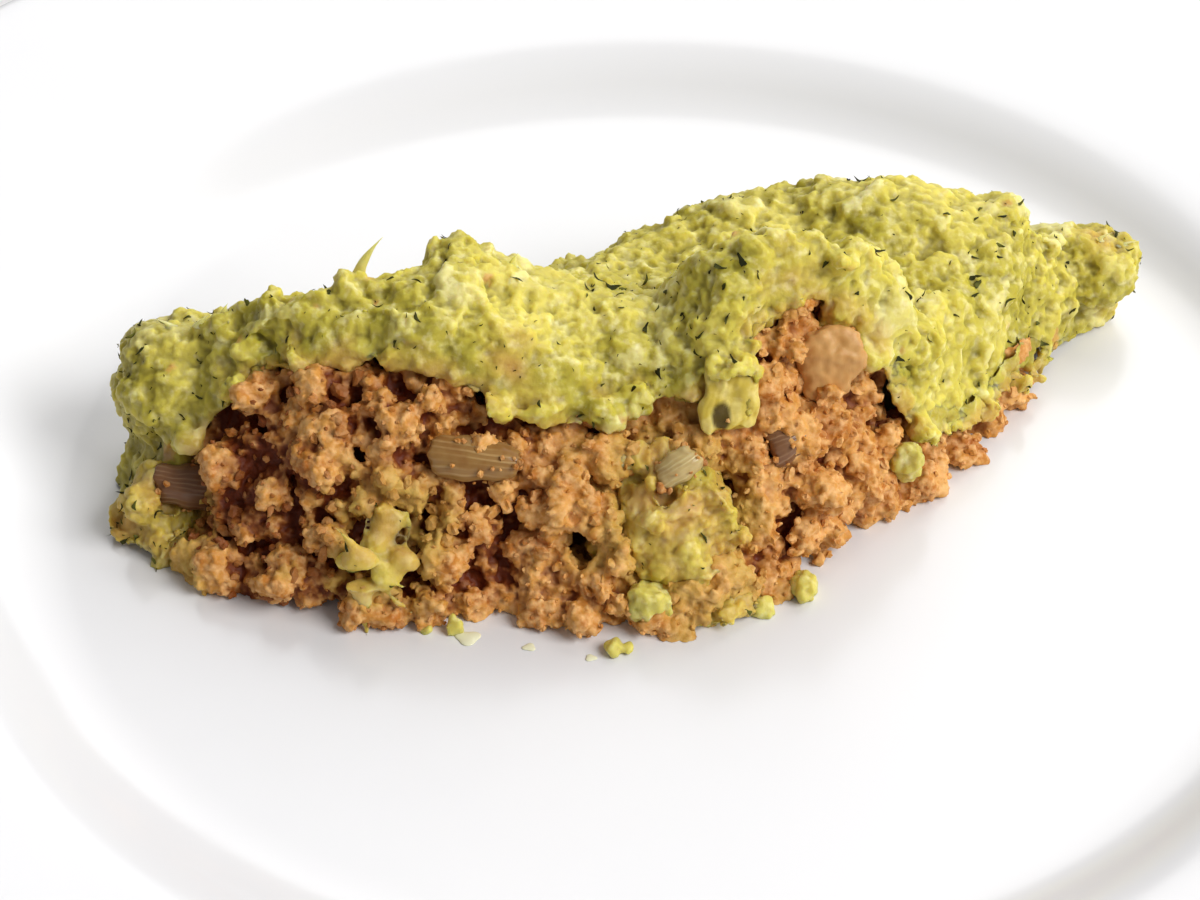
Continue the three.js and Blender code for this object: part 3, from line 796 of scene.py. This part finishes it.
# Cooked onion: glassy and wet, brown as the gravy shows through it, with paler veins.
def onion_material(name, body, vein):
    """Cooked onion whose flesh has one colour and whose veins have another."""
    material = new_material(name)
    in_object = add_node(material, "ShaderNodeTexCoord").outputs["Object"]
    cloud = add_node(material, "ShaderNodeTexNoise", {"Scale": 1 / (2.2 * MM), "Detail": 3.0},
                     {"Vector": in_object})
    rib = add_node(material, "ShaderNodeAttribute", {"attribute_name": "rib"})
    rib_share = add_node(
        material, "ShaderNodeMapRange", {"From Min": 0.0, "From Max": 1.0, "To Max": 0.6},
        {"Value": rib.outputs["Fac"]})
    clouded = add_node(
        material, "ShaderNodeMix", {"data_type": "RGBA", 6: linear(body), 7: linear(vein)},
        {0: rib_share.outputs["Result"]})
    in_gravy = layered(material, clouded.outputs[2], (
        (cloud.outputs["Fac"], 0.45, 0.75, 0.45, "#7a4516"),))
    add_node(
        material, "ShaderNodeBsdfPrincipled",
        {"IOR": 1.38, "Roughness": 0.22, "Specular IOR Level": 0.5, "Subsurface Weight": 0.4,
         "Subsurface Radius": (1.0, 0.7, 0.4), "Subsurface Scale": 1.5 * MM},
        {"Base Color": in_gravy})
    return material


gravy_onion = onion_material("onion_cooked_in_gravy", "#9c7643", "#c8a873")
browned_onion = onion_material("onion_browned", "#7e5a40", "#a98a68")
clear_onion = onion_material("onion_cooked_clear", "#c2ab74", "#dccf9f")
# each strip's material, number of ribs, share of its full length and width, and depth in the mince
ONIONS = {"onion_left": (browned_onion, 9, 1.0, 1.1), "onion_middle": (gravy_onion, 7, 1.0, 1.1),
          "onion_right": (browned_onion, 8, 0.9, 1.4), "onion_pale": (clear_onion, 7, 0.8, 0.4)}
STUCK_GRAINS = 34
edges = []
for node, (material, ribs, share, pressed_in) in ONIONS.items():
    middle, axes, halves = strip_axes(node)
    points, faces, rib, places = strip_mesh(halves * [share, share, 1], ribs, curl=0.7, rng=rng)
    points = points @ axes + middle - pressed_in * axes[2]
    strip = place(node + "_strip", points, faces, material, stands_for=[node])
    store(strip, "rib", rib)
    margin = np.flatnonzero(np.abs(places).max(1) > 0.9)
    in_front = points - [0, 0.4, 0]
    edges.append(in_front[rng.choice(margin, STUCK_GRAINS, replace=False)])

# grains of mince that stuck to the strips' edges
edges = np.concatenate(edges)
stuck_sizes = 0.2 + 0.4 * rng.random(len(edges)) ** 2.5
points, triangles = lumps(edges, stuck_sizes, rng, stretch=0.35, dents=0.14, chips=0.24)
stuck = place("mince_on_onion", points, triangles.tolist(), cooked_mince, smooth=False)
store(stuck, "painted_shade_and_tone", np.clip(0.35 + 0.5 * waves(points, size=1.5, seed=4), 0, 1))


# ------------------------------------------------------------------ leek
# A slice through the leaves of a leek, cooked soft. It hangs in the edge of the mash, clear and
# yellow-green, with one dark spot where the leaves part.
middle, axes, halves = strip_axes("leek_slice")
points, faces, rib, _ = strip_mesh(halves * [1, 1, 0.8], ribs=7, curl=0.5, rng=rng)
points = points @ axes + middle
# it sags and puckers: how far, and the size of the bends along each axis
for bend, sizes, seed in ((0.7, (4.0, 3.0, 4.0), 17), (0.25, (1.3, 1.1, 1.3), 22)):
    bent = [waves(points, size, seed + axis) for axis, size in enumerate(sizes)]
    points = points + bend * np.stack(bent, 1)
spot = np.hypot((points[:, 0] - middle[0] + 1.1) / 1.3, (points[:, 2] - middle[2] + 2.0) / 1.9)

# Leek leaf cooked soft: wet and faintly clear, yellow-green with a paler cloud in it.
leek_leaf = new_material("cooked_leek_leaf")
in_object = add_node(leek_leaf, "ShaderNodeTexCoord").outputs["Object"]
leaf_cloud = add_node(
    leek_leaf, "ShaderNodeTexNoise", {"Scale": 1 / (2 * MM), "Detail": 4.0},
    {"Vector": in_object}).outputs["Fac"]
rib_value = add_node(leek_leaf, "ShaderNodeAttribute", {"attribute_name": "rib"})
rib_share = add_node(
    leek_leaf, "ShaderNodeMapRange", {"From Min": -1.0, "From Max": 1.0},
    {"Value": rib_value.outputs["Fac"]})
leaf_colour = add_node(
    leek_leaf, "ShaderNodeMix", {"data_type": "RGBA", 6: linear("#c4a93c"), 7: linear("#d8c25a")},
    {0: rib_share.outputs["Result"]})
leaf_bump = add_node(
    leek_leaf, "ShaderNodeBump", {"Strength": 0.6, "Distance": 0.2 * MM},
    {"Height": leaf_cloud})
spot_share = add_node(leek_leaf, "ShaderNodeAttribute", {"attribute_name": "spot"}).outputs["Fac"]
# a paler cloud and the dark spot
leek_colour = layered(leek_leaf, leaf_colour.outputs[2], (
    (leaf_cloud, 0.45, 0.65, 0.8, "#e8d684"), (spot_share, 0.0, 1.0, 1.0, "#4a380c")))
add_node(
    leek_leaf, "ShaderNodeBsdfPrincipled",
    {"IOR": 1.38, "Roughness": 0.34, "Subsurface Weight": 0.4, "Subsurface Radius": (1.0, 0.8, 0.3),
     "Subsurface Scale": 1.8 * MM},
    {"Base Color": leek_colour, "Normal": leaf_bump.outputs["Normal"]})
leek = place("leek_slice_soft", points, faces, leek_leaf, stands_for=["leek_slice"])
store(leek, "rib", rib)
store(leek, "spot", np.clip(4 - 4 * spot, 0, 1) * 0.95)


# ------------------------------------------------------------------ potato wisps
# Threads of potato that were drawn out as the spoon came away: one tall curl on the crest, and
# short tips along the crests and on the smear, each tapering to a point.
def crest_near(x, y):
    """The cover's surface straight below a place, in millimetres."""
    apart = np.hypot(cover_points[:, 0] - x, cover_points[:, 1] - y)
    near = np.flatnonzero(apart < 1.2)
    return cover_points[near[np.argmax(cover_points[near, 2])]]


# each short tip: where it stands, how far it leans to the right and how high it rises
SHORT_TIPS = ((-16.5, 3.0, 0.8, 2.2), (-57.5, 1.0, 1.5, 1.8), (-61.0, 2.0, -2.2, 1.5),
              (-54.0, 2.5, 0.7, 2.0), (2.0, 5.0, -0.8, 1.6), (62.0, 33.0, 1.8, 1.5),
              (65.5, 32.0, 2.4, 0.8))
wisps = [wisp(crest_near(-37.0, 3.5) - [0, 0, 0.8], (3.6, 0, 8.0), thickness=1.6)]
for x, y, lean, rise in SHORT_TIPS:
    wisps.append(wisp(crest_near(x, y) - [0, 0, 0.5], (lean, 0, rise), thickness=0.8))
points, faces = gathered(wisps)
threads = place("potato_wisps", points, faces.tolist(), mashed_potato)
store(threads, "lump", np.full(len(points), 0.75))


# ------------------------------------------------------------------ herbs
# Dried herbs crushed into the potato: thin curled flakes of 0.5 to 2.6 mm, dark green to nearly
# black. More of them lie on the second crest and the left end.
def flakes(where, outward, sizes, rng):
    """Thin, curled, torn flakes that lie on a surface, as one set of points and triangles."""
    ball, triangles = ball_mesh(2)
    count = len(where)
    torn = 1 + 0.3 * np.sin(3 * np.arctan2(ball[:, 1], ball[:, 0])[None] + rng.uniform(0, 6, (count, 1)))
    shaped = ball[None] * np.stack([torn, torn * rng.uniform(0.2, 0.5, (count, 1)), 0 * torn + 0.07], -1)
    shaped[..., 2] += rng.uniform(-0.5, 0.7, (count, 1)) * shaped[..., 0] ** 2
    shaped *= sizes[:, None, None]
    lean = outward + rng.normal(size=(count, 3)) * 0.35
    lean /= np.linalg.norm(lean, axis=1)[:, None]
    spin = np.cross(lean, rng.normal(size=(count, 3)))
    spin /= np.linalg.norm(spin, axis=1)[:, None]
    axes = np.stack([spin, np.cross(lean, spin), lean], 1)
    placed = np.einsum("nvj,njk->nvk", shaped, axes) + where[:, None]
    return as_one(placed, triangles)


# Dried herb: dull and nearly black, olive where a flake is paler.
dried_herb = new_material("dried_herb")
in_object = add_node(dried_herb, "ShaderNodeTexCoord").outputs["Object"]
leaf_tone = add_node(
    dried_herb, "ShaderNodeTexNoise", {"Scale": 1 / (3 * MM), "Detail": 2.0}, {"Vector": in_object})
leaf_colour = add_node(dried_herb, "ShaderNodeValToRGB", (), {"Fac": leaf_tone.outputs["Fac"]})
ramp = leaf_colour.color_ramp
ramp.elements[0].position, ramp.elements[0].color = 0.38, linear("#26270a")
ramp.elements[1].position, ramp.elements[1].color = 0.68, linear("#69692a")
ramp.elements.new(0.52).color = linear("#3e3f14")
add_node(
    dried_herb, "ShaderNodeBsdfPrincipled", {"IOR": 1.45, "Roughness": 0.75, "Specular IOR Level": 0.2},
    {"Base Color": leaf_colour.outputs["Color"]})

mash_points = np.concatenate([cover_points, fallen_points])
mash_normals = np.concatenate([cover_normals, fallen_normals])
on_top = np.flatnonzero(mash_points[:, 2] > FOOD_FLOOR + 0.5)
crowding = 0.35 + 0.65 * np.clip(waves(mash_points[on_top], size=9.0, seed=12) + 0.3, 0, 1)
second_crest = np.hypot(mash_points[on_top, 0] - 2, mash_points[on_top, 1] + 2) < 11
left_end = mash_points[on_top, 0] < -52
crowding += 0.9 * second_crest + 0.6 * left_end
FLAKES = 1100
FLAKE_LIFT = 0.12
chosen = rng.choice(on_top, FLAKES, replace=False, p=crowding / crowding.sum())
sizes = 0.2 + 0.8 * rng.random(len(chosen)) ** 4
flake_places = mash_points[chosen] + mash_normals[chosen] * FLAKE_LIFT
flake_points, flake_faces = flakes(flake_places, mash_normals[chosen], sizes, rng)
place("herb_flakes", flake_points, flake_faces.tolist(), dried_herb)


# ------------------------------------------------------------------ scraps on the plate
# Scraps of potato of 2 to 5 mm that dropped while the portion was served. They lie on the plate
# before the corner, at the foot of the mince, and on the mince itself.
# each scrap's place and radius
SCRAPS = ((-4.6, -32.9, 1.2), (-3.0, -33.1, 0.8), (13.5, -26.0, 1.4), (-24.0, -29.6, 1.3),
          (-27.5, -29.3, 0.8), (32.5, -6.0, 2.5), (-0.2, -28.5, 2.0), (18.7, -22.5, 1.8))
HIGH_ABOVE = 60.0
scrap_centres = []
for x, y, r in SCRAPS:
    lies_on = mince_tree.ray_cast(Vector((x, y, HIGH_ABOVE)), -UP)[0]
    scrap_centres.append((x, y, 0.45 * r + (lies_on.z if lies_on else FOOD_FLOOR)))
scrap_lumps = lumps(scrap_centres, [r for *_, r in SCRAPS], rng, stretch=0.4, dents=0.2)
points, quads = fuse([scrap_lumps], voxel=0.2)
points = roughened(points, quads, size=1.1, height=0.5, seed=13)
points[:, 2] = np.maximum(points[:, 2], FOOD_FLOOR)
scraps = place("mash_scraps", points, quads, mashed_potato)
store(scraps, "lump", np.full(len(points), 0.5))
# painted olive shade in the creases
store(scraps, "painted_shade_and_tone", hollowness(points, quads, rounds=20))


# ------------------------------------------------------------------ drops of cooking liquid
# Butter and cooking water that ran out of the potato: three thin drops, 1.4 to 3 mm wide, that
# lie on the glaze in front of the open side.
# each drop's place and radius
DROPS = ((-22.5, -30.6, 1.5), (-7.5, -34.0, 0.7), (-15.0, -32.2, 0.8))
ball, ball_triangles = ball_mesh(4)
drops = []
for i, (x, y, r) in enumerate(DROPS):
    outline = 1 + 0.16 * np.sin(3 * np.arctan2(ball[:, 1], ball[:, 0]) + 2 * i)
    size = np.stack([r * outline, 0.8 * r * outline, 0 * outline + 0.22 * r], 1)
    drop = ball * size + [x, y, FOOD_FLOOR]
    drops.append((np.maximum(drop, [-np.inf, -np.inf, FOOD_FLOOR]), ball_triangles))
points, faces = gathered(drops)

# Butter and cooking water: a clear yellow film, domed by its own surface tension.
buttery_water = new_material("buttery_cooking_water")
add_node(
    buttery_water, "ShaderNodeBsdfPrincipled",
    {"Base Color": linear("#e6e3c0"), "IOR": 1.34, "Roughness": 0.05})
place("cooking_water_drops", points, faces.tolist(), buttery_water)


# ------------------------------------------------------------------ stage, light and camera
# A matt white table under soft daylight: a large window behind, a nearer one on the right, and
# a pale room all round.
HALF_TABLE = 2.0  # metres
corners = [(x * HALF_TABLE, y * HALF_TABLE, 0) for x, y in ((-1, -1), (1, -1), (1, 1), (-1, 1))]
floor_mesh = bpy.data.meshes.new("table_top")
floor_mesh.from_pydata(corners, [], [(0, 1, 2, 3)])
floor = bpy.data.objects.new("table_top", floor_mesh)
bpy.context.scene.collection.objects.link(floor)
# Matt white board: pale and even, so that only the plate's own shadow shows on it.
white_board = new_material("matt_white_board")
add_node(
    white_board, "ShaderNodeBsdfPrincipled", {"Base Color": linear("#eceaea"), "Roughness": 0.8})
floor_mesh.materials.append(white_board)

world = bpy.data.worlds.new("studio")
world.use_nodes = True
world.node_tree.nodes["Background"].inputs["Color"].default_value = (1.0, 1.0, 1.0, 1.0)
world.node_tree.nodes["Background"].inputs["Strength"].default_value = 0.22
bpy.context.scene.world = world

TARGET = Vector((-6.4, 0.8, 10.0)) * MM


def lamp(name, place_mm, size_mm, watts):
    """A soft rectangular light turned to face the food."""
    light = bpy.data.lights.new(name, "AREA")
    light.shape = "RECTANGLE"
    light.size, light.size_y = size_mm[0] * MM, size_mm[1] * MM
    light.energy = watts
    shining = bpy.data.objects.new(name, light)
    shining.location = Vector(place_mm) * MM
    shining.rotation_euler = (TARGET - shining.location).to_track_quat("-Z", "Y").to_euler()
    bpy.context.scene.collection.objects.link(shining)


lamp("window_behind", (240, 600, 620), (1000, 600), 5.2)
lamp("window_right", (720, -380, 730), (620, 620), 11.5)

ELEVATION = math.radians(41.2)
FIELD_OF_VIEW = math.radians(25.0)
DISTANCE = 351.5 * MM
lens = bpy.data.cameras.new("camera")
lens.sensor_width = 36.0
lens.lens = lens.sensor_width / 2 / math.tan(FIELD_OF_VIEW / 2)
camera = bpy.data.objects.new("camera", lens)
camera.location = TARGET - Vector((0, math.cos(ELEVATION), -math.sin(ELEVATION))) * DISTANCE
camera.rotation_euler = (math.pi / 2 - ELEVATION, 0, 0)
bpy.context.scene.collection.objects.link(camera)
bpy.context.scene.camera = camera
bpy.context.scene.view_settings.view_transform = "Standard"
